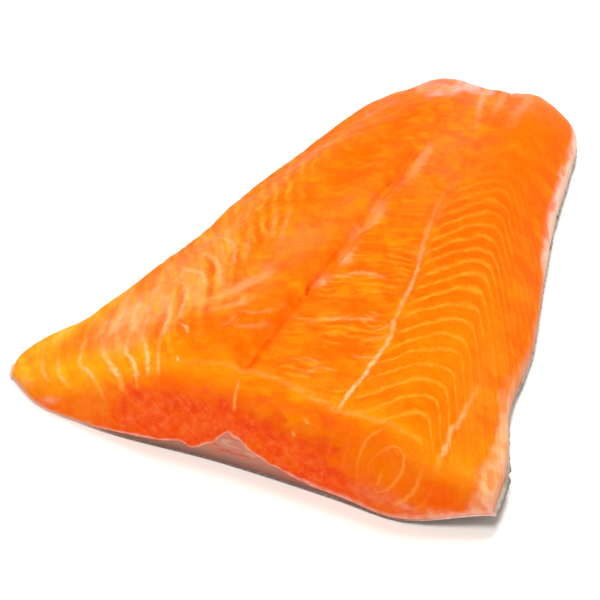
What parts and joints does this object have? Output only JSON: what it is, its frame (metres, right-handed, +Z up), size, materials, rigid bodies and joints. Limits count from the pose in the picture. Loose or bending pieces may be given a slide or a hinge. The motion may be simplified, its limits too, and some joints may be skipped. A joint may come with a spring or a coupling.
{
  "type": "salmon trout fillet",
  "caption": "Raw salmon trout fillet lying skin side down, wide at its straight cut end and narrower at its rounded far end, with dark muscle and skin showing in the cut.",
  "frame": {"origin": "middle of the footprint, on the surface that the skin lies on", "axes": "+Y along the piece from the straight cut end to the far end, +X across towards the thick back side, +Z up"},
  "size_m": [0.1638, 0.2516, 0.0292],
  "materials": {
    "flesh": "moist raw fish muscle, semi-gloss",
    "dark_muscle": "moist dark fish muscle, satin",
    "fat": "pale moist fat, satin",
    "skin": "wet scaled fish skin, semi-gloss"
  },
  "bodies": {
    "root": {"flesh": "flesh", "dark_muscle": "dark_muscle", "fat_edge": "fat", "skin": "skin"}
  },
  "joints": []
}
